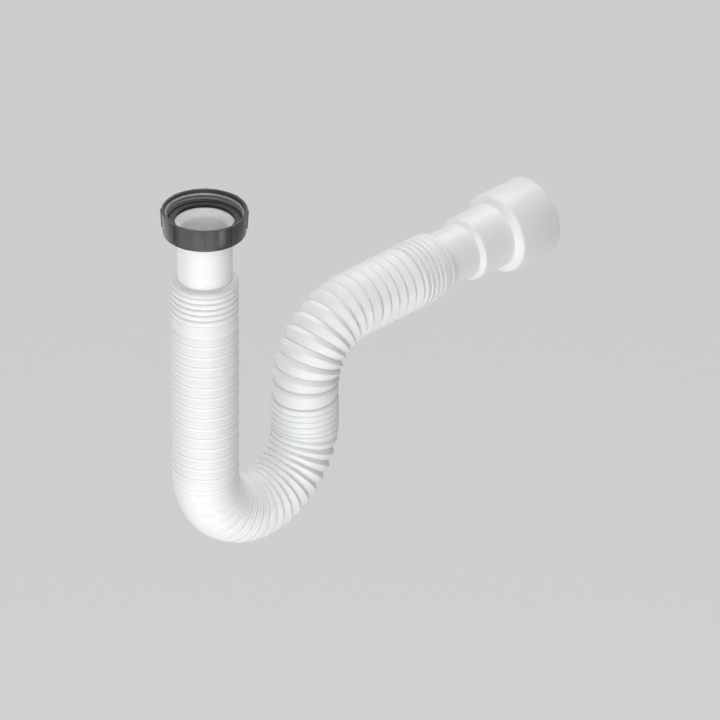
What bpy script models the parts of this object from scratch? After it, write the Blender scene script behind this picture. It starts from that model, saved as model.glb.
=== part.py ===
"""Extendable flexible waste pipe for a sink or basin, at real size in metres, +Z up.

The origin is the centre of the sealing washer's upper face, where the threaded waste seats.
The corrugated hose drops from the coupling nut, turns back up through a half circle and
ends in a level stepped outlet that points along +X. The hose's axis lies in the XZ plane.
"""

from math import cos, pi, radians, sin, tan

import bmesh
import bpy
from mathutils import Matrix, Vector

MM = 0.001

# Clearance between pieces that touch
FIT = 0.3 * MM

# Coupling nut for a 1 1/2 inch pipe thread
THREAD_MAJOR_R = 23.9 * MM
THREAD_DEPTH = 1.1 * MM
NUT_WALL = 2.0 * MM
NUT_TAPER = 0.9 * MM
NUT_HEIGHT = 15.0 * MM
NUT_LIP = 3.3 * MM
NUT_ENTRY = 0.8 * MM
NUT_TOP_EDGE = 0.3 * MM
NUT_FOOT_EDGE = 1.0 * MM
NUT_NECK_PLAY = 0.5 * MM
RIB_COUNT = 8
RIB_WIDTH = 1.8 * MM
RIB_PROUD = 0.6 * MM
RIB_LENGTH = 11.4 * MM
RIB_ROOT = 0.8 * MM
RIB_FIRST_ANGLE = radians(-47.5)

# Flat sealing washer
WASHER_THICK = 2.2 * MM

# Inlet neck
FLANGE_THICK = 2.6 * MM
FLANGE_PLAY = 0.4 * MM
NECK_R = 16.7 * MM
NECK_DROP = 39.7 * MM
MOUTH_FLARE = 0.9 * MM
MOUTH_DEPTH = 4.5 * MM
TAIL_WALL = 1.3 * MM

# Barbed tails of the neck and of the outlet
BARB_SHARE = 0.5
BARB_TOP = 0.5 * MM
BARB_SLOPE = 0.9 * MM
TAIL_LEAD = 1.2 * MM
TAIL_STEP = 0.9 * MM

# Hose wall and folds
CREST_R = 20.4 * MM
FOLD_DEPTH = 3.1 * MM
HOSE_WALL = 0.9 * MM
HOSE_EDGE = 0.4 * MM
OPEN_DEPTH = 1.3 * MM
OPEN_RISE = 0.63
OPEN_STEP = 0.4 * MM
SHARP_DEPTH = 2.1 * MM
SHARP_RISE = 0.6
CLOSED_PITCH = 3.9 * MM
CLOSED_GROOVE = 0.75 * MM
CLOSED_SKIN = 0.65 * MM

# Runs of folds that the hose was left with, along its axis
SHOULDER = 4.2 * MM
INLET_CUFF_RINGS = 5
OUTLET_CUFF_RINGS = 4
LEG_WIDE = 9.1 * MM
LEG_PITCH = 7.0 * MM
BEND_LAG = 6.0 * MM
BEND_PITCH = 6.6 * MM
RISER_LEAD = 7.05 * MM
RISER_RINGS = 6
RISER_WIDE = 9.7 * MM
UPPER_PITCH = 6.6 * MM
UPPER_GROWTH = 0.88
ARM_WIDE = 8.6 * MM
ARM_PITCH = 7.05 * MM
BAND = 6.0 * MM
BAND_GROOVE = 0.8 * MM
BAND_GROOVE_WALL = 1.0 * MM
LIP = 3.0 * MM
LIP_WALL = 2.2 * MM
LIP_EDGE = 0.4 * MM

# Route of the hose's axis: leg down, half circle, riser, quarter circle, level arm
LEG = 132.0 * MM
LOWER_BEND_R = 42.0 * MM
RISER = 22.5 * MM
UPPER_BEND_R = 40.0 * MM
ARM = 69.0 * MM

# Stepped outlet, measured along its axis from the end of the hose
STUB_R = 17.1 * MM
STUB_LENGTH = 23.1 * MM
SMALL_SPIGOT_R = 20.0 * MM
SMALL_SPIGOT_LENGTH = 24.1 * MM
SMALL_STEP = 2.6 * MM
LARGE_SPIGOT_R = 25.0 * MM
LARGE_SPIGOT_LENGTH = 31.1 * MM
LARGE_STEP = 2.6 * MM
OUTLET_WALL = 2.0 * MM
OUTLET_EDGE = 0.6 * MM

# Fineness of the round forms
NUT_STEPS = 48
ROUND_STEPS = 32
HOSE_STEPS = 16
SHOULDER_STEPS = 4
GUIDE_RESOLUTION = 48
SHARP = radians(30)
MERGE = 0.00001

# Heights that follow from the stack: washer, flange, nut lip
FLANGE_TOP = -WASHER_THICK - FIT
FLANGE_FOOT = FLANGE_TOP - FLANGE_THICK
LIP_TOP = FLANGE_FOOT - FIT
NUT_FOOT = LIP_TOP - NUT_LIP
NUT_TOP = NUT_FOOT + NUT_HEIGHT

# Radii that follow from the thread
THREAD_MINOR_R = THREAD_MAJOR_R - THREAD_DEPTH
NUT_TOP_R = THREAD_MAJOR_R + NUT_WALL
NUT_FOOT_R = NUT_TOP_R - NUT_TAPER
WASHER_OUTER_R = THREAD_MINOR_R - FIT
FLANGE_R = THREAD_MINOR_R - FLANGE_PLAY
MOUTH_R = NECK_R + MOUTH_FLARE
WASHER_INNER_R = MOUTH_R + FIT

# Radii of the tails, which the hose's inner folds just clear, and of the bore through them
HOSE_FLAT = cos(pi / HOSE_STEPS)
ROOT_R = CREST_R - FOLD_DEPTH
TAIL_R = (ROOT_R - HOSE_WALL) * HOSE_FLAT - FIT
BARB_R = TAIL_R + BARB_SHARE * FOLD_DEPTH
BORE_R = min(TAIL_R, NECK_R, STUB_R) - TAIL_WALL

# Places along the hose's axis, from its inlet end
LOWER_BEND = pi * LOWER_BEND_R
UPPER_BEND = pi / 2 * UPPER_BEND_R
HOSE_LENGTH = LEG + LOWER_BEND + RISER + UPPER_BEND + ARM
INLET_CUFF_END = SHOULDER + INLET_CUFF_RINGS * CLOSED_PITCH
LEG_FOLDS_START = INLET_CUFF_END + LEG_WIDE
BEND_FOLDS_START = LEG + BEND_LAG
RISER_RINGS_START = LEG + LOWER_BEND - RISER_LEAD
RISER_RINGS_END = RISER_RINGS_START + RISER_RINGS * CLOSED_PITCH
UPPER_FOLDS_START = RISER_RINGS_END + RISER_WIDE
ARM_START = HOSE_LENGTH - ARM
ARM_FOLDS_START = ARM_START + ARM_WIDE
BAND_START = HOSE_LENGTH - LIP - BAND_GROOVE - BAND
OUTLET_CUFF_START = BAND_START - OUTLET_CUFF_RINGS * CLOSED_PITCH

# Corners of the route in the XZ plane
LOWER_BEND_Z = -NECK_DROP - LEG
RISER_X = 2 * LOWER_BEND_R
OUTLET_Z = LOWER_BEND_Z + RISER + UPPER_BEND_R
HOSE_END_X = RISER_X + UPPER_BEND_R + ARM


def clear_start():
    """Empties the file, so that only the pipe is in it."""
    for item in list(bpy.data.objects):
        bpy.data.objects.remove(item, do_unlink=True)


def new_collection(name):
    collection = bpy.data.collections.new(name)
    bpy.context.scene.collection.children.link(collection)
    return collection


def plastic(name, colour, roughness):
    """A Principled material in one colour."""
    material = bpy.data.materials.new(name)
    material.use_nodes = True
    shader = material.node_tree.nodes["Principled BSDF"]
    shader.inputs["Base Color"].default_value = (*colour, 1.0)
    shader.inputs["Roughness"].default_value = roughness
    shader.inputs["Metallic"].default_value = 0.0
    material.diffuse_color = (*colour, 1.0)
    return material


def profile_object(name, points, collection):
    """A closed outline of (radius, height) points in the XZ plane, as loose edges."""
    mesh = bpy.data.meshes.new(name)
    corners = [(radius, 0.0, height) for radius, height in points]
    edges = [(i, (i + 1) % len(points)) for i in range(len(points))]
    mesh.from_pydata(corners, edges, [])
    item = bpy.data.objects.new(name, mesh)
    collection.objects.link(item)
    return item


def add_screw(item, steps):
    """Turns the outline once round the object's Z axis."""
    screw = item.modifiers.new("turned", "SCREW")
    screw.axis = "Z"
    screw.angle = 2 * pi
    screw.steps = steps
    screw.render_steps = steps
    screw.use_merge_vertices = True
    screw.merge_threshold = MERGE
    screw.use_smooth_shade = True


def settle(item):
    """Makes the modified shape the object's own mesh, smooth except at its sharp edges."""
    graph = bpy.context.evaluated_depsgraph_get()
    mesh = bpy.data.meshes.new_from_object(item.evaluated_get(graph))
    item.modifiers.clear()
    item.data = mesh
    mesh.shade_smooth()
    mesh.set_sharp_from_angle(angle=SHARP)


def paint(item, material):
    item.data.materials.clear()
    item.data.materials.append(material)


def nut_profile():
    """Section of the nut: down the tapered skirt, in under the lip and up the bore."""
    return [
        (NUT_TOP_R - NUT_TOP_EDGE, NUT_TOP),
        (NUT_TOP_R, NUT_TOP - NUT_TOP_EDGE),
        (NUT_FOOT_R, NUT_FOOT + NUT_FOOT_EDGE),
        (NUT_FOOT_R - NUT_FOOT_EDGE * (1 - cos(pi / 4)), NUT_FOOT + NUT_FOOT_EDGE * (1 - sin(pi / 4))),
        (NUT_FOOT_R - NUT_FOOT_EDGE, NUT_FOOT),
        (NECK_R + NUT_NECK_PLAY, NUT_FOOT),
        (NECK_R + NUT_NECK_PLAY, LIP_TOP),
        (THREAD_MAJOR_R, LIP_TOP),
        (THREAD_MAJOR_R, NUT_TOP - NUT_ENTRY),
        (THREAD_MAJOR_R + NUT_ENTRY, NUT_TOP),
    ]


def nut_ribs(collection):
    """The upright grip ribs, flush with the nut's rim and leaning with its taper."""
    shape = bmesh.new()
    lean = (NUT_TOP_R - NUT_FOOT_R) * RIB_LENGTH / NUT_HEIGHT
    depth = RIB_ROOT + RIB_PROUD
    for i in range(RIB_COUNT):
        made = bmesh.ops.create_cube(shape, size=1.0)["verts"]
        bmesh.ops.scale(shape, vec=(depth, RIB_WIDTH, RIB_LENGTH), verts=made)
        for corner in made:
            if corner.co.z < 0:
                corner.co.x -= lean
        middle = Vector((NUT_TOP_R + RIB_PROUD - depth / 2, 0, NUT_TOP - NUT_TOP_EDGE - RIB_LENGTH / 2))
        bmesh.ops.translate(shape, vec=middle, verts=made)
        turn = Matrix.Rotation(RIB_FIRST_ANGLE + 2 * pi * i / RIB_COUNT, 3, "Z")
        bmesh.ops.rotate(shape, cent=(0, 0, 0), matrix=turn, verts=made)
    mesh = bpy.data.meshes.new("nut_ribs")
    shape.to_mesh(mesh)
    shape.free()
    ribs = bpy.data.objects.new("nut_ribs", mesh)
    ribs.hide_render = True
    ribs.display_type = "WIRE"
    collection.objects.link(ribs)
    return ribs


def make_nut(collection, guides):
    """Loose union nut with a plain bore at the thread's full depth and eight grip ribs."""
    nut = profile_object("coupling_nut", nut_profile(), collection)
    add_screw(nut, NUT_STEPS)
    join = nut.modifiers.new("ribs", "BOOLEAN")
    join.operation = "UNION"
    join.solver = "EXACT"
    join.object = nut_ribs(guides)
    settle(nut)
    paint(nut, plastic("dark_grey_plastic", (0.075, 0.077, 0.082), 0.42))


def make_washer(collection):
    """Flat rubber ring that lies on the neck's flange, inside the nut."""
    section = [
        (WASHER_OUTER_R, 0.0),
        (WASHER_OUTER_R, -WASHER_THICK),
        (WASHER_INNER_R, -WASHER_THICK),
        (WASHER_INNER_R, 0.0),
    ]
    washer = profile_object("sealing_washer", section, collection)
    add_screw(washer, ROUND_STEPS)
    settle(washer)
    paint(washer, plastic("black_rubber", (0.012, 0.012, 0.013), 0.6))


def barbs(start, count, away):
    """Barbs of a tail, one in the middle of each closed ring of the hose.

    The rings lie one after another from start. away is 1 where the tail's tip lies
    further along and -1 where the tip lies back, and each barb slopes towards the tip.
    """
    points = []
    for i in range(count):
        middle = start + away * (i + 0.5) * CLOSED_PITCH
        steep = middle - away * BARB_TOP
        points += [
            (TAIL_R, steep),
            (BARB_R, steep),
            (TAIL_R, middle + away * BARB_SLOPE),
        ]
    return points


def neck_profile():
    """Section of the neck, with heights below the seat counted as depths until the end."""
    hose_end = NECK_DROP
    cuff = hose_end + SHOULDER
    tip = hose_end + INLET_CUFF_END + TAIL_LEAD
    outside = [
        (FLANGE_R, -FLANGE_TOP),
        (FLANGE_R, -FLANGE_FOOT),
        (NECK_R, -FLANGE_FOOT),
        (NECK_R, cuff - CLOSED_GROOVE - TAIL_STEP),
        (TAIL_R, cuff - CLOSED_GROOVE),
        *barbs(cuff, INLET_CUFF_RINGS, 1),
        (TAIL_R, tip),
    ]
    inside = [
        (BORE_R, tip),
        (BORE_R, -FLANGE_TOP + MOUTH_DEPTH),
        (MOUTH_R, -FLANGE_TOP),
    ]
    return [(radius, -depth) for radius, depth in outside + inside]


def make_neck(collection):
    """Flanged tube that the washer seals on, with its barbed tail inside the hose."""
    neck = profile_object("inlet_neck", neck_profile(), collection)
    add_screw(neck, ROUND_STEPS)
    settle(neck)
    paint(neck, plastic("white_neck_plastic", (0.86, 0.88, 0.88), 0.35))


def graded(start, end, pitch, growth=1.0):
    """Edges of the folds that fill start to end, the last one growth times the first."""
    count = max(1, round((end - start) / pitch))
    shares = [1 + (growth - 1) * i / max(1, count - 1) for i in range(count)]
    unit = (end - start) / sum(shares)
    edges = [start]
    for share in shares:
        edges.append(edges[-1] + share * unit)
    return list(zip(edges, edges[1:]))


def closed_fold(start, end, skin):
    """A closed ring as (distance below the crest, place): one band between narrow grooves."""
    slant = CLOSED_GROOVE + skin
    return [(FOLD_DEPTH, start), (0.0, start + slant), (0.0, end - slant)]


def open_fold(start, end, skin):
    """A fold pulled long: a shallow rise, outside also a strip at full radius, and a steep step in."""
    fold = [(OPEN_DEPTH, start), (0.0, start + OPEN_RISE * (end - start))]
    if skin == 0:
        fold.append((0.0, end - OPEN_STEP))
    return fold


def sharp_fold(start, end, skin):
    """A fold with one sharp crest, its longer face towards the inlet."""
    return [(SHARP_DEPTH, start), (0.0, start + SHARP_RISE * (end - start))]


def fold_runs():
    """Every run of folds with its shape, in order from the inlet to the outlet cuff."""
    return [
        (graded(SHOULDER, INLET_CUFF_END, CLOSED_PITCH), closed_fold),
        ([(INLET_CUFF_END, LEG_FOLDS_START)], open_fold),
        (graded(LEG_FOLDS_START, BEND_FOLDS_START, LEG_PITCH), open_fold),
        (graded(BEND_FOLDS_START, RISER_RINGS_START, BEND_PITCH), sharp_fold),
        (graded(RISER_RINGS_START, RISER_RINGS_END, CLOSED_PITCH), closed_fold),
        ([(RISER_RINGS_END, UPPER_FOLDS_START)], open_fold),
        (graded(UPPER_FOLDS_START, ARM_START, UPPER_PITCH, UPPER_GROWTH), sharp_fold),
        ([(ARM_START, ARM_FOLDS_START)], sharp_fold),
        (graded(ARM_FOLDS_START, OUTLET_CUFF_START, ARM_PITCH), sharp_fold),
        (graded(OUTLET_CUFF_START, BAND_START, CLOSED_PITCH), closed_fold),
    ]


def fold_side(crest, skin):
    """One side of the wall along all folds, from the crests' radius on that side."""
    points = []
    for folds, shape in fold_runs():
        for start, end in folds:
            points += [(crest - drop, place) for drop, place in shape(start, end, skin)]
    points.append((crest - FOLD_DEPTH, BAND_START))
    return points


def clear_of(radius):
    """Radius of a hose ring whose flats just clear a round piece inside it."""
    return (radius + FIT) / HOSE_FLAT


def hose_profile():
    """Section of the straight hose, its inlet end at height 0 and its outlet end on top."""
    mouth = clear_of(NECK_R)
    edge = mouth + HOSE_EDGE
    rise = SHOULDER - CLOSED_GROOVE
    shoulder = []
    for i in range(SHOULDER_STEPS + 1):
        turn = pi / 2 * i / SHOULDER_STEPS
        height = rise * (1 - cos(turn))
        shoulder.append((edge + (CREST_R - edge) * sin(turn), height))
    collar = clear_of(max(STUB_R, TAIL_R))
    lip = collar + LIP_WALL
    groove = HOSE_LENGTH - LIP - BAND_GROOVE / 2
    outer_end = [
        (CREST_R, BAND_START + CLOSED_GROOVE),
        (CREST_R, groove - BAND_GROOVE / 2),
        (collar + BAND_GROOVE_WALL, groove),
        (lip, groove + BAND_GROOVE / 2),
        (lip, HOSE_LENGTH - LIP_EDGE),
        (lip - LIP_EDGE, HOSE_LENGTH),
    ]
    inner_end = [
        (collar, BAND_START + CLOSED_GROOVE),
        (collar, HOSE_LENGTH),
    ]
    inner_start = [
        (mouth, 0.0),
        (mouth, rise / 3),
        (CREST_R - HOSE_WALL, rise - CLOSED_SKIN),
    ]
    outer = shoulder + fold_side(CREST_R, 0.0) + outer_end
    inner = inner_start + fold_side(CREST_R - HOSE_WALL, CLOSED_SKIN) + inner_end
    return outer[::-1] + inner


def route_guide(collection):
    """The hose's axis as a Bezier curve, which starts at the hose's inlet end."""
    round_handle = 4 / 3 * tan(pi / 8)
    lower = round_handle * LOWER_BEND_R
    upper = round_handle * UPPER_BEND_R
    down, level, rising = (0, 0, -1), (1, 0, 0), (0, 0, 1)
    knots = [
        ((0, 0, -NECK_DROP), down, LEG / 3, LEG / 3),
        ((0, 0, LOWER_BEND_Z), down, LEG / 3, lower),
        ((LOWER_BEND_R, 0, LOWER_BEND_Z - LOWER_BEND_R), level, lower, lower),
        ((RISER_X, 0, LOWER_BEND_Z), rising, lower, RISER / 3),
        ((RISER_X, 0, LOWER_BEND_Z + RISER), rising, RISER / 3, upper),
        ((RISER_X + UPPER_BEND_R, 0, OUTLET_Z), level, upper, ARM / 3),
        ((HOSE_END_X, 0, OUTLET_Z), level, ARM / 3, ARM / 3),
    ]
    curve = bpy.data.curves.new("hose_route", "CURVE")
    curve.dimensions = "3D"
    curve.resolution_u = GUIDE_RESOLUTION
    spline = curve.splines.new("BEZIER")
    spline.bezier_points.add(len(knots) - 1)
    for point, (place, heading, before, after) in zip(spline.bezier_points, knots):
        point.handle_left_type = "FREE"
        point.handle_right_type = "FREE"
        point.co = place
        point.handle_left = Vector(place) - before * Vector(heading)
        point.handle_right = Vector(place) + after * Vector(heading)
    guide = bpy.data.objects.new("hose_route", curve)
    guide.hide_render = True
    guide.display_type = "WIRE"
    collection.objects.link(guide)
    return guide


def make_hose(collection, guides):
    """The one-piece bellows hose, turned straight and then bent along its route."""
    hose = profile_object("corrugated_hose", hose_profile(), collection)
    add_screw(hose, HOSE_STEPS)
    bend = hose.modifiers.new("bent", "CURVE")
    bend.object = route_guide(guides)
    bend.deform_axis = "POS_Z"
    settle(hose)
    paint(hose, plastic("white_hose_plastic", (0.87, 0.89, 0.89), 0.38))


def outlet_profile():
    """Section of the outlet, its heights measured along its axis from the hose's end."""
    cuff = BAND_START - HOSE_LENGTH
    tip = cuff - OUTLET_CUFF_RINGS * CLOSED_PITCH - TAIL_LEAD
    stub = STUB_LENGTH
    small = stub + SMALL_STEP
    small_end = small + SMALL_SPIGOT_LENGTH
    large = small_end + LARGE_STEP
    large_end = large + LARGE_SPIGOT_LENGTH
    small_bore = SMALL_SPIGOT_R - OUTLET_WALL
    large_bore = LARGE_SPIGOT_R - OUTLET_WALL
    outside = [
        (TAIL_R, tip),
        *barbs(cuff, OUTLET_CUFF_RINGS, -1)[::-1],
        (TAIL_R, cuff + CLOSED_GROOVE),
        (STUB_R, cuff + CLOSED_GROOVE + TAIL_STEP),
        (STUB_R, stub),
        (SMALL_SPIGOT_R, small),
        (SMALL_SPIGOT_R, small_end),
        (LARGE_SPIGOT_R - OUTLET_EDGE, small_end + LARGE_STEP - OUTLET_EDGE),
        (LARGE_SPIGOT_R, large),
        (LARGE_SPIGOT_R, large_end - OUTLET_EDGE),
        (LARGE_SPIGOT_R - OUTLET_EDGE, large_end),
    ]
    inside = [
        (BORE_R, tip),
        (BORE_R, stub + OUTLET_WALL),
        (small_bore, small + OUTLET_WALL),
        (small_bore, small_end + OUTLET_WALL),
        (large_bore, large + OUTLET_WALL),
        (large_bore, large_end),
    ]
    return outside[::-1] + inside


def make_outlet(collection):
    """Stepped outlet for two pipe sizes, carried on the middle of the upper bend."""
    swing = bpy.data.objects.new("outlet_swing_axis", None)
    reach = UPPER_BEND_R * sin(pi / 4)
    corner = Vector((RISER_X + UPPER_BEND_R, 0, OUTLET_Z - UPPER_BEND_R))
    swing.location = corner + Vector((-reach, 0, reach))
    collection.objects.link(swing)
    outlet = profile_object("outlet_adaptor", outlet_profile(), collection)
    add_screw(outlet, ROUND_STEPS)
    settle(outlet)
    outlet.parent = swing
    outlet.location = Vector((HOSE_END_X, 0, OUTLET_Z)) - swing.location
    outlet.rotation_euler = (0, pi / 2, 0)
    paint(outlet, plastic("white_outlet_plastic", (0.87, 0.89, 0.89), 0.33))


def main():
    clear_start()
    pipe = new_collection("flexible_waste_pipe")
    guides = new_collection("guides")
    make_nut(pipe, guides)
    make_washer(pipe)
    make_neck(pipe)
    make_hose(pipe, guides)
    make_outlet(pipe)


main()
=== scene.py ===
"""The looks of the flexible waste pipe: fine turned plastic, the bellows and the nut's thread."""

from bisect import bisect_right
from collections import namedtuple
from math import atan2, cos, hypot, pi, radians, sin, sqrt, tau

import bmesh
import bpy
from mathutils import Matrix, Vector


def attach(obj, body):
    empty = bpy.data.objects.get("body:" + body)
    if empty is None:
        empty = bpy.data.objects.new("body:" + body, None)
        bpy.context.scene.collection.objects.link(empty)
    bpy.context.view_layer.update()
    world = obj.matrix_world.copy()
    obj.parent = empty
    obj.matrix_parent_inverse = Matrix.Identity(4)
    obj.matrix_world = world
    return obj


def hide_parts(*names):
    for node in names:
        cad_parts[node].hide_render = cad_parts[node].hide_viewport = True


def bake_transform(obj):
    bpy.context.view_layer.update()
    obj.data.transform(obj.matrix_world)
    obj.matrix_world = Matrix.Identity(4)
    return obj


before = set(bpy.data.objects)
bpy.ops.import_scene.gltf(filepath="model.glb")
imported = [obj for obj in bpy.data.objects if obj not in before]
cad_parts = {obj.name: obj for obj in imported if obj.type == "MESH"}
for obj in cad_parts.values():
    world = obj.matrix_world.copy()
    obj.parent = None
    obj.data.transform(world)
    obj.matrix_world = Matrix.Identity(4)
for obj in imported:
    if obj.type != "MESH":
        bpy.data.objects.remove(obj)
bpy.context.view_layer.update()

MM = 0.001
FIT = 0.3 * MM

# Thread in the nut's bore, whose ridge bites a little into the wall
THREAD_MAJOR_R = 23.9 * MM
THREAD_MINOR_R = 22.8 * MM
THREAD_PITCH = 2.309 * MM
THREAD_TURNS = 3.7
THREAD_STEPS = 120
THREAD_ROOT_HALF = 0.47 * THREAD_PITCH
THREAD_CREST_HALF = 0.12 * THREAD_PITCH
THREAD_BITE = 0.15 * MM
THREAD_LEAD = 0.3 * MM
THREAD_START_ANGLE = radians(-27)

# Coupling nut
NUT_TOP_R = 25.9 * MM
NUT_FOOT_R = 25.0 * MM
NUT_HEIGHT = 15.0 * MM
NUT_LIP = 3.3 * MM
NUT_ENTRY = 0.8 * MM
NUT_TOP_EDGE = 0.3 * MM
NUT_FOOT_EDGE = 1.0 * MM
NUT_BORE_EDGE = 0.4 * MM
NUT_ENTRY_EDGE = 0.2 * MM
NUT_RIM_EDGE = 0.15 * MM
NUT_NECK_PLAY = 0.5 * MM
NUT_TAPER_AT_RIBS = 0.22
NUT_STEPS = 72
NUT_SHARP_ANGLE = radians(35)
RIB_COUNT = 8
RIB_PROUD = 0.6 * MM
RIB_LENGTH = 11.4 * MM
RIB_EDGE = 0.12 * MM
RIB_FIRST_ANGLE = radians(-47.5)

# A rib is raised from a face of the nut that lies farther than this outside the thread, is
# taller than this and misses the rib's own angle by less than this share of the ribs' spacing
RIB_LEAST_WALL = 1.2 * MM
RIB_LEAST_HEIGHT = 0.8 * RIB_LENGTH
RIB_MISS = 0.05

# Washer and neck
WASHER_THICK = 2.2 * MM
WASHER_EDGE = 0.35 * MM
FLANGE_THICK = 2.6 * MM
FLANGE_R = 22.4 * MM
NECK_R = 16.7 * MM
NECK_DROP = 39.7 * MM
MOUTH_R = 17.6 * MM
MOUTH_DEPTH = 4.5 * MM
BORE_R = 14.48 * MM
PLAIN_EDGE = 0.3 * MM
FLANGE_FILLET = 0.6 * MM
MOUTH_ROUND = 1.5 * MM
MOUTH_EDGE = 0.4 * MM
WASHER_INNER_R = MOUTH_R + FIT
TUBE_SHARP_ANGLE = radians(40)

# Barbed tails
BARB_R = 17.33 * MM
BARB_TOP = 0.5 * MM
BARB_SLOPE = 0.9 * MM
TAIL_R = 15.78 * MM
TAIL_LEAD = 1.2 * MM
TAIL_STEP = 0.9 * MM

# Hose wall and the runs of its folds
CREST_R = 20.4 * MM
HOSE_WALL = 0.9 * MM
HOSE_EDGE = 0.2 * MM
SEAM = 0.04 * MM
CLOSED_PITCH = 3.9 * MM
CLOSED_GROOVE = 0.75 * MM
SHOULDER = 4.2 * MM
INLET_CUFF_RINGS = 5
OUTLET_CUFF_RINGS = 4
LEG_WIDE = 9.1 * MM
LEG_PITCH = 7.0 * MM
BEND_LAG = 6.0 * MM
BEND_PITCH = 6.6 * MM
RISER_LEAD = 7.05 * MM
RISER_RINGS = 6
RISER_WIDE = 9.7 * MM
UPPER_PITCH = 6.6 * MM
UPPER_GROWTH = 0.88
ARM_WIDE = 8.6 * MM
ARM_PITCH = 7.05 * MM
BAND = 6.0 * MM
BAND_GROOVE = 0.8 * MM
BAND_GROOVE_R = 18.7 * MM
LIP = 3.0 * MM
LIP_R = 19.9 * MM
BAND_EDGE = 0.6 * MM
BAND_SHOULDER = 0.8 * MM
BAND_FILLET = 0.2 * MM
HOSE_MOUTH_EDGE = 0.05 * MM
HOSE_STEPS = 96
SHOULDER_STEPS = 12
SHOULDER_BOW = 1.5

# Shape of a fold: its depth, the shares of its length where its long face ends and its steep
# face starts, how far it opens, how far it flattens on the outer side of a bend, the depth of
# the groove that is left where it is closed, and of the crease at the end of its long face
Fold = namedtuple("Fold", "depth crest fall opens ease groove crease")
CUFF_RING = Fold(0.0, 0.5, 0.5, 0.0, 0.0, 3.1 * MM, 0.0)
RISER_RING = Fold(0.0, 0.5, 0.5, 0.0, 0.0, 0.9 * MM, 0.0)
OPEN_FOLD = Fold(1.35 * MM, 0.6, 0.91, 1.0, 0.3, 0.7 * MM, 0.6 * MM)
SHARP_FOLD = Fold(1.9 * MM, 0.63, 0.66, 1.0, 0.0, 0.9 * MM, 0.0)
WIDE_FOLD = Fold(1.3 * MM, 0.63, 0.85, 1.0, 0.0, 0.9 * MM, 0.2 * MM)
LONG_FACE_CURVE = 1.15
CREASE_HALF = 0.4 * MM

# Share of a closed fold's groove that is still cut at the feet of an open one
VALLEY_GROOVE = 0.7

# Depth to which a fold flattens on the outer side of a bend
STRETCH_SINK = 0.88 * MM

# Places along the hose between which the lower bend's folds turn from open to sharp ones
SHARPEN_FROM = 170.0 * MM
SHARP_FROM = 215.0 * MM

# Local pitches between which a fold opens, and then flattens on the outer side of a bend
OPEN_FROM = 3.2 * MM
OPEN_FULLY = 4.4 * MM
EASE_FROM = 7.4 * MM
EASE_FULLY = 9.6 * MM

# Where along a fold its outer and its inner side have their rings of corners
OUTSIDE = (
    0, 0.03, 0.07, 0.13, 0.2, 0.3, 0.42, 0.52, 0.58,
    0.605, 0.63, 0.655, 0.68, 0.8, 0.87, 0.92, 0.95, 0.975,
)
INSIDE = (0, 0.13, 0.35, 0.63, 0.85)

# Route of the hose's axis
LEG = 132.0 * MM
LOWER_BEND_R = 42.0 * MM
RISER = 22.5 * MM
UPPER_BEND_R = 40.0 * MM
ARM = 69.0 * MM

# Stepped outlet
STUB_R = 17.1 * MM
STUB_LENGTH = 23.1 * MM
SMALL_SPIGOT_R = 20.0 * MM
SMALL_SPIGOT_LENGTH = 24.1 * MM
LARGE_SPIGOT_R = 25.0 * MM
LARGE_SPIGOT_LENGTH = 31.1 * MM
STEP = 2.6 * MM
OUTLET_WALL = 2.0 * MM
OUTLET_END_EDGE = 0.7 * MM
LARGE_STEP_ROUND = 1.8 * MM
SMALL_STEP_ROUND = 1.0 * MM
STEP_FILLET = 0.5 * MM
OUTLET_BORE_ROUND = 0.8 * MM

# Fineness of turned shapes and of their rounded corners, and the most of an edge that the
# rounding of one of its corners takes
ROUND_STEPS = 144
ARC_STEPS = 3
ROUND_SHARE = 0.45
TINY = 1e-7

# Heights from the seat, which is the washer's upper face
FLANGE_TOP = -WASHER_THICK - FIT
FLANGE_FOOT = FLANGE_TOP - FLANGE_THICK
NUT_LIP_TOP = FLANGE_FOOT - FIT
NUT_FOOT = NUT_LIP_TOP - NUT_LIP
NUT_TOP = NUT_FOOT + NUT_HEIGHT

# Places along the hose's axis
LOWER_BEND = pi * LOWER_BEND_R
UPPER_BEND = pi / 2 * UPPER_BEND_R
HOSE_LENGTH = LEG + LOWER_BEND + RISER + UPPER_BEND + ARM
INLET_CUFF_END = SHOULDER + INLET_CUFF_RINGS * CLOSED_PITCH
LEG_FOLDS_START = INLET_CUFF_END + LEG_WIDE
BEND_FOLDS_START = LEG + BEND_LAG
RISER_RINGS_START = LEG + LOWER_BEND - RISER_LEAD
RISER_RINGS_END = RISER_RINGS_START + RISER_RINGS * CLOSED_PITCH
UPPER_FOLDS_START = RISER_RINGS_END + RISER_WIDE
ARM_START = HOSE_LENGTH - ARM
ARM_FOLDS_START = ARM_START + ARM_WIDE
BAND_START = HOSE_LENGTH - LIP - BAND_GROOVE - BAND
OUTLET_CUFF_START = BAND_START - OUTLET_CUFF_RINGS * CLOSED_PITCH

# Corners of the route in the XZ plane
LOWER_BEND_Z = -NECK_DROP - LEG
RISER_X = 2 * LOWER_BEND_R
UPPER_BEND_Z = LOWER_BEND_Z + RISER
OUTLET_Z = UPPER_BEND_Z + UPPER_BEND_R
HOSE_END_X = RISER_X + UPPER_BEND_R + ARM

# Camera of the photograph: nearly parallel, 720 pixels across, aimed by the nut's rim
PIXELS = 720
PIXELS_PER_METRE = 1680.0
RIM_PIXEL = (204.5, 209.9)
CAMERA_AZIMUTH = radians(-45)
CAMERA_ELEVATION = radians(30)
CAMERA_DISTANCE = 20.0
CLIP_START = 0.1
CLIP_END = 200.0
SENSOR = 36.0

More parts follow.
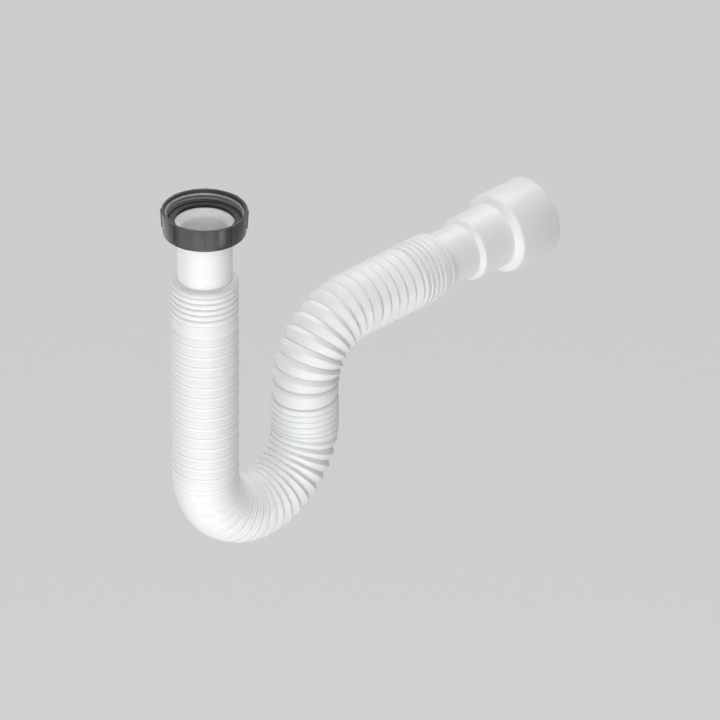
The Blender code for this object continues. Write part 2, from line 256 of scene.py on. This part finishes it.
# The plain grey field of the photograph, in linear light, and the light around the pipe
FIELD = (0.604, 0.604, 0.604, 1)
FLOOR_Z = -2.0
FLOOR_HALF = 40.0
FLOOR_GLOW = 0.73
FLOOR_ROUGHNESS = 0.9
SKY = (0.93, 0.96, 1.0, 1)
WORLD_STRENGTH = 0.21
PIPE_MIDDLE = (0.1, 0.0, -0.12)
LAMP_SIZE = 1.4
WHITE = (1.0, 1.0, 1.0)
WARM_WHITE = (1.0, 0.98, 0.95)

# Surface of a material: the colours of its darkest and lightest clouds, its least roughness and
# how much the clouds add to it, their scale and detail, and the scale and strength of its grain
Surface = namedtuple("Surface", "dark light roughness dullness cloud detail grain strength")
NUT_GREY = Surface((0.02, 0.021, 0.023), (0.03, 0.031, 0.034), 0.23, 0.1, 60.0, 2.0, 2200.0, 0.25)
# The thread is the nut's own dark plastic; its lighter grey is a painted sheen, the glint that its
# flanks catch
THREAD_PAINTED_SHEEN = NUT_GREY._replace(dark=(0.26, 0.26, 0.264), light=(0.32, 0.32, 0.325))
TUBE_WHITE = Surface((0.85, 0.87, 0.87), (0.89, 0.9, 0.9), 0.28, 0.1, 45.0, 2.0, 1400.0, 0.1)
HOSE_WHITE = TUBE_WHITE._replace(light=(0.9, 0.91, 0.91), roughness=0.31)
RUBBER = Surface((0.008, 0.008, 0.009), (0.016, 0.016, 0.017), 0.42, 0.2, 80.0, 4.0, 3000.0, 0.3)
GRAIN_DEPTH = 0.1 * MM


def object_from(shape, name):
    """A new object at the origin from a finished bmesh, smooth-shaded."""
    mesh = bpy.data.meshes.new(name)
    shape.to_mesh(mesh)
    shape.free()
    mesh.shade_smooth()
    item = bpy.data.objects.new(name, mesh)
    bpy.context.scene.collection.objects.link(item)
    return item


def eased(corners):
    """A closed outline with its corners rounded; each corner is (radius, height, rounding)."""
    points = []
    for i, (radius, height, rounding) in enumerate(corners):
        here = Vector((radius, height))
        if rounding == 0:
            points.append(here)
            continue
        back = Vector(corners[i - 1][:2]) - here
        on = Vector(corners[(i + 1) % len(corners)][:2]) - here
        start = here + back.normalized() * min(rounding, back.length * ROUND_SHARE)
        end = here + on.normalized() * min(rounding, on.length * ROUND_SHARE)
        for k in range(ARC_STEPS + 1):
            t = k / ARC_STEPS
            points.append(start * (1 - t) ** 2 + here * 2 * t * (1 - t) + end * t * t)
    return points


def turned_shape(corners, steps):
    """The outline turned once round Z, as a bmesh."""
    shape = bmesh.new()
    ring = [shape.verts.new((p.x, 0, p.y)) for p in eased(corners)]
    edges = [shape.edges.new((a, b)) for a, b in zip(ring, ring[1:] + ring[:1])]
    bmesh.ops.spin(
        shape,
        geom=ring + edges,
        cent=(0, 0, 0),
        axis=(0, 0, 1),
        dvec=(0, 0, 0),
        angle=tau,
        steps=steps,
        use_merge=True,
        use_duplicate=False,
    )
    bmesh.ops.remove_doubles(shape, verts=shape.verts, dist=TINY)
    bmesh.ops.recalc_face_normals(shape, faces=shape.faces)
    return shape


def make_nut_body():
    """The nut's tapered skirt, its lip and its ribs, each raised from one face of the skirt."""
    rib_foot_r = NUT_FOOT_R + (NUT_TOP_R - NUT_FOOT_R) * NUT_TAPER_AT_RIBS
    corners = [
        (NUT_TOP_R, NUT_TOP, NUT_TOP_EDGE),
        (rib_foot_r, NUT_TOP - NUT_TOP_EDGE - RIB_LENGTH, 0),
        (NUT_FOOT_R, NUT_FOOT, NUT_FOOT_EDGE),
        (NECK_R + NUT_NECK_PLAY, NUT_FOOT, NUT_BORE_EDGE),
        (NECK_R + NUT_NECK_PLAY, NUT_LIP_TOP, PLAIN_EDGE),
        (THREAD_MAJOR_R, NUT_LIP_TOP, NUT_BORE_EDGE),
        (THREAD_MAJOR_R, NUT_TOP - NUT_ENTRY, NUT_ENTRY_EDGE),
        (THREAD_MAJOR_R + NUT_ENTRY, NUT_TOP, NUT_RIM_EDGE),
    ]
    shape = turned_shape(corners, NUT_STEPS)
    turn = Matrix.Rotation(RIB_FIRST_ANGLE - pi / NUT_STEPS, 3, "Z")
    bmesh.ops.rotate(shape, cent=(0, 0, 0), matrix=turn, verts=shape.verts)
    skirt = []
    for face in shape.faces:
        middle = face.calc_center_median()
        away = hypot(middle.x, middle.y)
        tall = max(v.co.z for v in face.verts) - min(v.co.z for v in face.verts)
        outside = away > THREAD_MAJOR_R + RIB_LEAST_WALL
        place = (atan2(middle.y, middle.x) - RIB_FIRST_ANGLE) / (tau / RIB_COUNT)
        if outside and tall > RIB_LEAST_HEIGHT and abs(place - round(place)) < RIB_MISS:
            skirt.append(face)
    ribs = bmesh.ops.extrude_discrete_faces(shape, faces=skirt)["faces"]
    for face in ribs:
        out = face.calc_center_median()
        out.z = 0
        bmesh.ops.translate(shape, vec=out.normalized() * RIB_PROUD, verts=face.verts)
    rims = list({edge for face in ribs for edge in face.edges})
    bmesh.ops.bevel(
        shape,
        geom=rims,
        offset=RIB_EDGE,
        segments=2,
        profile=0.5,
        affect="EDGES",
        material=-1,
    )
    nut = object_from(shape, "nut_body")
    nut.data.set_sharp_from_angle(angle=NUT_SHARP_ANGLE)
    return nut


def make_nut_thread():
    """The ridge of the female thread, spun up the bore to end on the side nearest the camera."""
    root = THREAD_MAJOR_R + THREAD_BITE
    start = NUT_LIP_TOP + THREAD_LEAD + THREAD_ROOT_HALF
    outline = [
        (root, -THREAD_ROOT_HALF),
        (THREAD_MINOR_R, -THREAD_CREST_HALF),
        (THREAD_MINOR_R, THREAD_CREST_HALF),
        (root, THREAD_ROOT_HALF),
    ]
    shape = bmesh.new()
    first = shape.faces.new([shape.verts.new((r, 0, start + h)) for r, h in outline])
    steps = round(THREAD_STEPS * THREAD_TURNS)
    bmesh.ops.spin(
        shape,
        geom=[first],
        cent=(0, 0, 0),
        axis=(0, 0, 1),
        dvec=(0, 0, THREAD_PITCH / THREAD_STEPS),
        angle=tau * steps / THREAD_STEPS,
        steps=steps,
        use_merge=False,
        use_duplicate=False,
    )
    turn = Matrix.Rotation(THREAD_START_ANGLE, 3, "Z")
    bmesh.ops.rotate(shape, cent=(0, 0, 0), matrix=turn, verts=shape.verts)
    bmesh.ops.recalc_face_normals(shape, faces=shape.faces)
    thread = object_from(shape, "nut_thread")
    thread.data.set_sharp_from_angle(angle=NUT_SHARP_ANGLE)
    return thread


def make_washer():
    """Flat rubber ring with slightly softened edges."""
    outer = THREAD_MINOR_R - FIT
    corners = [
        (outer, 0.0, WASHER_EDGE),
        (outer, -WASHER_THICK, WASHER_EDGE),
        (WASHER_INNER_R, -WASHER_THICK, WASHER_EDGE),
        (WASHER_INNER_R, 0.0, WASHER_EDGE),
    ]
    return object_from(turned_shape(corners, ROUND_STEPS), "washer_ring")


def barbs(start, count, away):
    """Corners of a tail's barbs, one in the middle of each closed ring of the cuff."""
    corners = []
    for i in range(count):
        middle = start + away * (i + 0.5) * CLOSED_PITCH
        steep = middle - away * BARB_TOP
        corners += [
            (TAIL_R, steep, 0),
            (BARB_R, steep, 0),
            (TAIL_R, middle + away * BARB_SLOPE, 0),
        ]
    return corners


def make_neck():
    """Flanged neck with a flared mouth, and its barbed tail in the hose's cuff."""
    cuff = NECK_DROP + SHOULDER
    tip = NECK_DROP + INLET_CUFF_END + TAIL_LEAD
    depths = [
        (FLANGE_R, -FLANGE_TOP, PLAIN_EDGE),
        (FLANGE_R, -FLANGE_FOOT, PLAIN_EDGE),
        (NECK_R, -FLANGE_FOOT, FLANGE_FILLET),
        (NECK_R, cuff - CLOSED_GROOVE - TAIL_STEP, PLAIN_EDGE),
        (TAIL_R, cuff - CLOSED_GROOVE, 0),
        *barbs(cuff, INLET_CUFF_RINGS, 1),
        (TAIL_R, tip, PLAIN_EDGE),
        (BORE_R, tip, PLAIN_EDGE),
        (BORE_R, -FLANGE_TOP + MOUTH_DEPTH, MOUTH_ROUND),
        (MOUTH_R, -FLANGE_TOP, MOUTH_EDGE),
    ]
    corners = [(radius, -depth, rounding) for radius, depth, rounding in depths]
    neck = object_from(turned_shape(corners, ROUND_STEPS), "neck_tube")
    neck.data.set_sharp_from_angle(angle=TUBE_SHARP_ANGLE)
    return neck


def make_outlet():
    """Stepped outlet laid level on the end of the hose."""
    cuff = BAND_START - HOSE_LENGTH
    tip = cuff - OUTLET_CUFF_RINGS * CLOSED_PITCH - TAIL_LEAD
    small = STUB_LENGTH + STEP
    small_end = small + SMALL_SPIGOT_LENGTH
    large = small_end + STEP
    large_end = large + LARGE_SPIGOT_LENGTH
    small_bore = SMALL_SPIGOT_R - OUTLET_WALL
    large_bore = LARGE_SPIGOT_R - OUTLET_WALL
    corners = [
        (LARGE_SPIGOT_R, large_end, OUTLET_END_EDGE),
        (LARGE_SPIGOT_R, large, LARGE_STEP_ROUND),
        (SMALL_SPIGOT_R, small_end, STEP_FILLET),
        (SMALL_SPIGOT_R, small, SMALL_STEP_ROUND),
        (STUB_R, STUB_LENGTH, STEP_FILLET),
        (STUB_R, cuff + CLOSED_GROOVE + TAIL_STEP, PLAIN_EDGE),
        (TAIL_R, cuff + CLOSED_GROOVE, 0),
        *barbs(cuff, OUTLET_CUFF_RINGS, -1),
        (TAIL_R, tip, PLAIN_EDGE),
        (BORE_R, tip, PLAIN_EDGE),
        (BORE_R, STUB_LENGTH + OUTLET_WALL, OUTLET_BORE_ROUND),
        (small_bore, small + OUTLET_WALL, OUTLET_BORE_ROUND),
        (small_bore, small_end + OUTLET_WALL, OUTLET_BORE_ROUND),
        (large_bore, large + OUTLET_WALL, OUTLET_BORE_ROUND),
        (large_bore, large_end, STEP_FILLET),
    ]
    shape = turned_shape(corners, ROUND_STEPS)
    lay = Matrix.Translation((HOSE_END_X, 0, OUTLET_Z)) @ Matrix.Rotation(pi / 2, 4, "Y")
    bmesh.ops.transform(shape, matrix=lay, verts=shape.verts)
    outlet = object_from(shape, "outlet_tube")
    outlet.data.set_sharp_from_angle(angle=TUBE_SHARP_ANGLE)
    return outlet


def graded(start, end, pitch, growth=1.0):
    """Edges of the folds that fill start to end, the last one growth times the first."""
    count = max(1, round((end - start) / pitch))
    shares = [1 + (growth - 1) * i / max(1, count - 1) for i in range(count)]
    unit = (end - start) / sum(shares)
    edges = [start]
    for share in shares:
        edges.append(edges[-1] + share * unit)
    return list(zip(edges, edges[1:]))


def smooth_step(low, high, value):
    """0 up to low, 1 from high on, and a smooth rise between them."""
    t = min(1.0, max(0.0, (value - low) / (high - low)))
    return t * t * (3 - 2 * t)


def between(first, second, share):
    """A fold's shape part way from one to another."""
    return Fold(*(a + (b - a) * share for a, b in zip(first, second)))


def fold_runs():
    """Every fold as (start, end, shape), in order along the hose.

    The folds of the lower bend have no one shape: they turn from open to sharp along it.
    """
    runs = [
        (graded(SHOULDER, INLET_CUFF_END, CLOSED_PITCH), CUFF_RING),
        ([(INLET_CUFF_END, LEG_FOLDS_START)], WIDE_FOLD),
        (graded(LEG_FOLDS_START, BEND_FOLDS_START, LEG_PITCH), OPEN_FOLD),
        (graded(BEND_FOLDS_START, RISER_RINGS_START, BEND_PITCH), None),
        (graded(RISER_RINGS_START, RISER_RINGS_END, CLOSED_PITCH), RISER_RING),
        ([(RISER_RINGS_END, UPPER_FOLDS_START)], WIDE_FOLD),
        (graded(UPPER_FOLDS_START, ARM_START, UPPER_PITCH, UPPER_GROWTH), SHARP_FOLD),
        ([(ARM_START, ARM_FOLDS_START)], SHARP_FOLD),
        (graded(ARM_FOLDS_START, OUTLET_CUFF_START, ARM_PITCH), SHARP_FOLD),
        (graded(OUTLET_CUFF_START, BAND_START, CLOSED_PITCH), CUFF_RING),
    ]
    folds = []
    for spans, shape in runs:
        for start, end in spans:
            sharp = smooth_step(SHARPEN_FROM, SHARP_FROM, start)
            folds.append((start, end, shape or between(OPEN_FOLD, SHARP_FOLD, sharp)))
    return folds


def fold_drop(share, pitch, shape):
    """How far a fold lies below its crest, at a share of its length and a local pitch.

    A stretched fold has a long face that rises towards the outlet, a strip at full radius
    and a steep face. A closed one, as in the cuffs and on the inner side of a bend, is a
    flat band between narrow grooves.
    """
    opened = 0.0
    if share < shape.crest:
        opened = shape.depth * (1 - share / shape.crest) ** LONG_FACE_CURVE
    elif share > shape.fall:
        opened = shape.depth * ((share - shape.fall) / (1 - shape.fall))
    opened += shape.crease * max(0.0, 1 - abs(share - shape.crest) * pitch / CREASE_HALF)
    eased_off = shape.ease * smooth_step(EASE_FROM, EASE_FULLY, pitch)
    opened += (STRETCH_SINK - opened) * eased_off
    edge = min(share, 1 - share) * pitch / CLOSED_GROOVE
    closed = shape.groove * max(0.0, 1 - edge) ** 2
    opened += closed * VALLEY_GROOVE
    return closed + (opened - closed) * shape.opens * smooth_step(OPEN_FROM, OPEN_FULLY, pitch)


def route(along):
    """Point and heading of the hose's axis at a length along it."""
    if along < LEG:
        return Vector((0, 0, -NECK_DROP - along)), Vector((0, 0, -1))
    along -= LEG
    if along < LOWER_BEND:
        turn = along / LOWER_BEND_R
        place = Vector((LOWER_BEND_R * (1 - cos(turn)), 0, LOWER_BEND_Z - LOWER_BEND_R * sin(turn)))
        return place, Vector((sin(turn), 0, -cos(turn)))
    along -= LOWER_BEND
    if along < RISER:
        return Vector((RISER_X, 0, LOWER_BEND_Z + along)), Vector((0, 0, 1))
    along -= RISER
    if along < UPPER_BEND:
        turn = along / UPPER_BEND_R
        x = RISER_X + UPPER_BEND_R * (1 - cos(turn))
        z = UPPER_BEND_Z + UPPER_BEND_R * sin(turn)
        return Vector((x, 0, z)), Vector((sin(turn), 0, cos(turn)))
    along -= UPPER_BEND
    return Vector((RISER_X + UPPER_BEND_R + along, 0, OUTLET_Z)), Vector((1, 0, 0))


def curvature(along):
    """Curvature of the axis, positive where the straight hose's +X side is on the inside."""
    if LEG < along < LEG + LOWER_BEND:
        return -1 / LOWER_BEND_R
    rise_end = LEG + LOWER_BEND + RISER
    if rise_end < along < rise_end + UPPER_BEND:
        return 1 / UPPER_BEND_R
    return 0.0


def sink_folds(shape, folds):
    """Sinks the walls of a plain straight tube, built up the Z axis, into its folds."""
    starts = [start for start, end, kind in folds]
    for corner in shape.verts:
        along = corner.co.z
        if along < starts[0] - TINY or along > folds[-1][1] + TINY:
            continue
        start, end, kind = folds[bisect_right(starts, along + TINY) - 1]
        away = hypot(corner.co.x, corner.co.y)
        inward = curvature(along) * corner.co.x / away * CREST_R
        pitch = (end - start) * (1 - inward)
        corner.co.xy *= 1 - fold_drop((along - start) / (end - start), pitch, kind) / away


def lay_along_route(shape):
    """Moves each point of a straight hose, built up the Z axis, to its place on the route."""
    across = Vector((0, 1, 0))
    for corner in shape.verts:
        place, heading = route(corner.co.z)
        side = across.cross(heading)
        corner.co = place + side * corner.co.x + across * corner.co.y


def wall_line(folds, radius, shares):
    """Corners of one side of the wall at the crests' radius, with rings at the given shares."""
    line = []
    for start, end, kind in folds:
        line += [(radius, start + share * (end - start), 0) for share in shares]
    return line + [(radius, folds[-1][1], 0)]


def hose_piece(name, folds, outer_ends, inner_ends):
    """A closed length of the hose: its folds between the corners of its two ends."""
    outer = outer_ends[0] + wall_line(folds, CREST_R, OUTSIDE) + outer_ends[1]
    inner = inner_ends[0] + wall_line(folds, CREST_R - HOSE_WALL, INSIDE) + inner_ends[1]
    shape = turned_shape(outer[::-1] + inner, HOSE_STEPS)
    sink_folds(shape, folds)
    lay_along_route(shape)
    bmesh.ops.recalc_face_normals(shape, faces=shape.faces)
    return object_from(shape, name)


def make_hose():
    """The bellows in two lengths that meet in the groove above the riser's first ring."""
    folds = fold_runs()
    lower = [fold for fold in folds if fold[0] < RISER_RINGS_START + MM]
    mouth = NECK_R + SEAM
    edge = mouth + HOSE_EDGE
    collar = STUB_R + FIT
    rise = SHOULDER - CLOSED_GROOVE
    straight = rise / 3
    shoulder = []
    for i in range(SHOULDER_STEPS + 1):
        share = i / SHOULDER_STEPS
        radius = edge + (CREST_R - edge) * sin(pi / 2 * share)
        shoulder.append((radius, rise * share ** SHOULDER_BOW, 0))
    inside_start = [
        (mouth, 0.0, HOSE_MOUTH_EDGE),
        (mouth, straight, 0),
        (CREST_R - HOSE_WALL, rise, 0),
    ]
    groove = HOSE_LENGTH - LIP - BAND_GROOVE / 2
    outside_end = [
        (CREST_R, BAND_START + CLOSED_GROOVE, BAND_SHOULDER),
        (CREST_R, groove - BAND_GROOVE / 2, BAND_EDGE),
        (BAND_GROOVE_R, groove, BAND_FILLET),
        (LIP_R, groove + BAND_GROOVE / 2, BAND_EDGE),
        (LIP_R, HOSE_LENGTH, BAND_EDGE),
    ]
    inside_end = [
        (collar, BAND_START + CLOSED_GROOVE, PLAIN_EDGE),
        (collar, HOSE_LENGTH, PLAIN_EDGE),
    ]
    lower_hose = hose_piece("hose_lower", lower, (shoulder, []), (inside_start, []))
    upper_hose = hose_piece("hose_upper", folds[len(lower):], ([], outside_end), ([], inside_end))
    return lower_hose, upper_hose


class Link:
    """An output of a node, on which arithmetic is written as Python expressions."""

    def __init__(self, tree, socket):
        self.tree = tree
        self.socket = socket

    def maths(self, operation, a, b):
        return self.tree.add("ShaderNodeMath", {"operation": operation}, {0: a, 1: b})

    def __add__(self, other):
        return self.maths("ADD", self, other)

    def __mul__(self, other):
        return self.maths("MULTIPLY", self, other)


class Tree:
    """The nodes and links of one material or world."""

    def __init__(self, tree):
        self.nodes = tree.nodes
        self.links = tree.links

    def add(self, kind, settings, inputs, output=0):
        """Adds a node with its settings and inputs, and gives one of its outputs."""
        node = self.nodes.new(kind)
        for key, value in settings.items():
            setattr(node, key, value)
        self.fill(node, inputs)
        return Link(self, node.outputs[output])

    def fill(self, node, inputs):
        """Gives a node's inputs their values, or links them to other nodes."""
        for key, value in inputs.items():
            if isinstance(value, Link):
                self.links.new(value.socket, node.inputs[key])
            else:
                node.inputs[key].default_value = value

    def seen(self):
        """1 for camera, glossy and transmission rays, which meet the plain field, and 0 for others."""
        kinds = ("Is Camera Ray", "Is Glossy Ray", "Is Transmission Ray")
        camera, glossy, through = (self.add("ShaderNodeLightPath", {}, {}, kind) for kind in kinds)
        return camera + glossy + through


class Finish(Tree):
    """One material, built round its Principled shader."""

    def __init__(self, name):
        self.material = bpy.data.materials.new(name)
        self.material.use_nodes = True
        super().__init__(self.material.node_tree)
        self.shader = self.nodes["Principled BSDF"]

    def set(self, **inputs):
        """Fills inputs of the Principled shader, with _ for the spaces in their names."""
        self.fill(self.shader, {key.replace("_", " "): value for key, value in inputs.items()})

    def noise(self, scale, detail=2.0):
        """Noise on the object's own coordinates, as a value about one half."""
        place = self.add("ShaderNodeTexCoord", {}, {}, "Object")
        inputs = {"Vector": place, "Scale": scale, "Detail": detail}
        return self.add("ShaderNodeTexNoise", {}, inputs)

    def bumps(self, scale, strength):
        """A normal disturbed by fine noise."""
        inputs = {"Strength": strength, "Distance": GRAIN_DEPTH, "Height": self.noise(scale)}
        return self.add("ShaderNodeBump", {}, inputs)

    def mix(self, factor, dark, light):
        """A colour between two others."""
        settings = {"data_type": "RGBA"}
        return self.add("ShaderNodeMix", settings, {0: factor, 6: (*dark, 1), 7: (*light, 1)}, 2)


def clouded(name, surface):
    """A material with faint clouds in its colour and gloss, over a fine surface grain."""
    finish = Finish(name)
    cloud = finish.noise(surface.cloud, surface.detail)
    finish.set(
        Base_Color=finish.mix(cloud, surface.dark, surface.light),
        Roughness=cloud * surface.dullness + surface.roughness,
        Normal=finish.bumps(surface.grain, surface.strength),
    )
    return finish.material


def dress(item, material, body, node):
    """Gives a piece its finish and its slot, hangs it on its body where one is given, and hides the
    CAD node that it stands in for where one is given.
    """
    item.data.materials.append(material)
    if body:
        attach(item, body)
    if node:
        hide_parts(node)


def floor_field():
    """The pale floor, which keeps the pipe's shadow and glows only to the rays that see it."""
    finish = Finish("floor_field")
    finish.set(
        Base_Color=FIELD,
        Roughness=FLOOR_ROUGHNESS,
        Emission_Color=FIELD,
        Emission_Strength=FLOOR_GLOW,
    )
    plain = finish.add("ShaderNodeBsdfDiffuse", {}, {"Color": FIELD})
    lit = Link(finish, finish.shader.outputs[0])
    mixed = finish.add("ShaderNodeMixShader", {}, {0: finish.seen(), 1: plain, 2: lit})
    finish.fill(finish.nodes["Material Output"], {"Surface": mixed})
    return finish.material


def make_floor():
    """A wide pale floor, far enough below the hung pipe for its shadow to fall out of view."""
    shape = bmesh.new()
    bmesh.ops.create_grid(shape, x_segments=1, y_segments=1, size=FLOOR_HALF)
    bmesh.ops.translate(shape, vec=(0, 0, FLOOR_Z), verts=shape.verts)
    floor = object_from(shape, "floor")
    floor.data.materials.append(floor_field())


def make_world():
    """Even soft light all round, with the photograph's grey field for the rays that see it."""
    world = bpy.data.worlds.new("field")
    world.use_nodes = True
    bpy.context.scene.world = world
    tree = Tree(world.node_tree)
    soft = tree.nodes["Background"]
    tree.fill(soft, {"Color": SKY, "Strength": WORLD_STRENGTH})
    around = Link(tree, soft.outputs[0])
    behind = tree.add("ShaderNodeBackground", {}, {"Color": FIELD})
    mixed = tree.add("ShaderNodeMixShader", {}, {0: tree.seen(), 1: around, 2: behind})
    tree.fill(tree.nodes["World Output"], {"Surface": mixed})


def add_lamp(name, place, power, size=LAMP_SIZE, colour=WHITE):
    """A square area lamp aimed at the middle of the pipe and not seen by the camera."""
    lamp = bpy.data.lights.new(name, "AREA")
    lamp.shape = "SQUARE"
    lamp.size = size
    lamp.energy = power
    lamp.color = colour
    item = bpy.data.objects.new(name, lamp)
    item.location = place
    aim = Vector(PIPE_MIDDLE) - Vector(place)
    item.rotation_euler = aim.to_track_quat("-Z", "Y").to_euler()
    item.visible_camera = False
    bpy.context.scene.collection.objects.link(item)


def make_lamps():
    """Five wide soft lamps round the pipe, a small one low on its right and one over the nut."""
    add_lamp("left", (-1.42, 0.06, -0.63), 8.6)
    add_lamp("below", (-0.84, -0.94, -1.0), 12.0)
    add_lamp("overhead", (0.62, 0.52, 1.3), 15.5, colour=WARM_WHITE)
    add_lamp("behind", (-0.2, 1.54, -0.45), 4.5)
    add_lamp("front", (-0.88, -0.98, 0.68), 9.8)
    add_lamp("right", (0.05, -1.35, -0.75), 2.0, size=0.35)
    add_lamp("nut_glint", (0.0, 0.0, 0.4), 0.22, size=0.14)


def make_camera():
    """The photograph's view, aimed so that the nut's rim lands on its own pixel."""
    level = cos(CAMERA_ELEVATION)
    look = Vector((-sin(CAMERA_AZIMUTH) * level, cos(CAMERA_AZIMUTH) * level, -sin(CAMERA_ELEVATION)))
    right = look.cross(Vector((0, 0, 1))).normalized()
    up = right.cross(look)
    aside = (PIXELS / 2 - RIM_PIXEL[0]) / PIXELS_PER_METRE
    below = (PIXELS / 2 - RIM_PIXEL[1]) / PIXELS_PER_METRE
    target = Vector((0, 0, NUT_TOP)) + right * aside - up * below
    data = bpy.data.cameras.new("camera")
    data.sensor_width = SENSOR
    data.lens = SENSOR * CAMERA_DISTANCE * PIXELS_PER_METRE / PIXELS
    data.clip_start = CLIP_START
    data.clip_end = CLIP_END
    camera = bpy.data.objects.new("camera", data)
    camera.location = target - look * CAMERA_DISTANCE
    camera.rotation_euler = look.to_track_quat("-Z", "Y").to_euler()
    bpy.context.scene.collection.objects.link(camera)
    bpy.context.scene.camera = camera


def dress_hose(material):
    """Dresses the bellows' two lengths in the hose's finish, in place of the CAD hose, and bakes their
    placing into their meshes.
    """
    lower, upper = make_hose()
    dress(lower, material, None, "corrugated_hose")
    dress(upper, material, None, "corrugated_hose")
    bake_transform(lower)
    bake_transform(upper)


def main():
    bpy.context.scene.view_settings.view_transform = "Standard"
    make_camera()
    make_world()
    make_floor()
    make_lamps()
    grey = clouded("nut_grey", NUT_GREY)
    dress(make_nut_body(), grey, "nut", "coupling_nut")
    # The thread's lighter grey is a painted sheen on the nut's own dark plastic
    pale = clouded("thread_painted_sheen", THREAD_PAINTED_SHEEN)
    dress(make_nut_thread(), pale, "nut", None)
    rubber = clouded("washer_rubber", RUBBER)
    dress(make_washer(), rubber, "inlet", "sealing_washer")
    white = clouded("neck_white", TUBE_WHITE)
    dress(make_neck(), white, "inlet", "inlet_neck")
    white = clouded("outlet_white", TUBE_WHITE)
    dress(make_outlet(), white, "outlet", "outlet_adaptor")
    dress_hose(clouded("hose_white", HOSE_WHITE))


main()
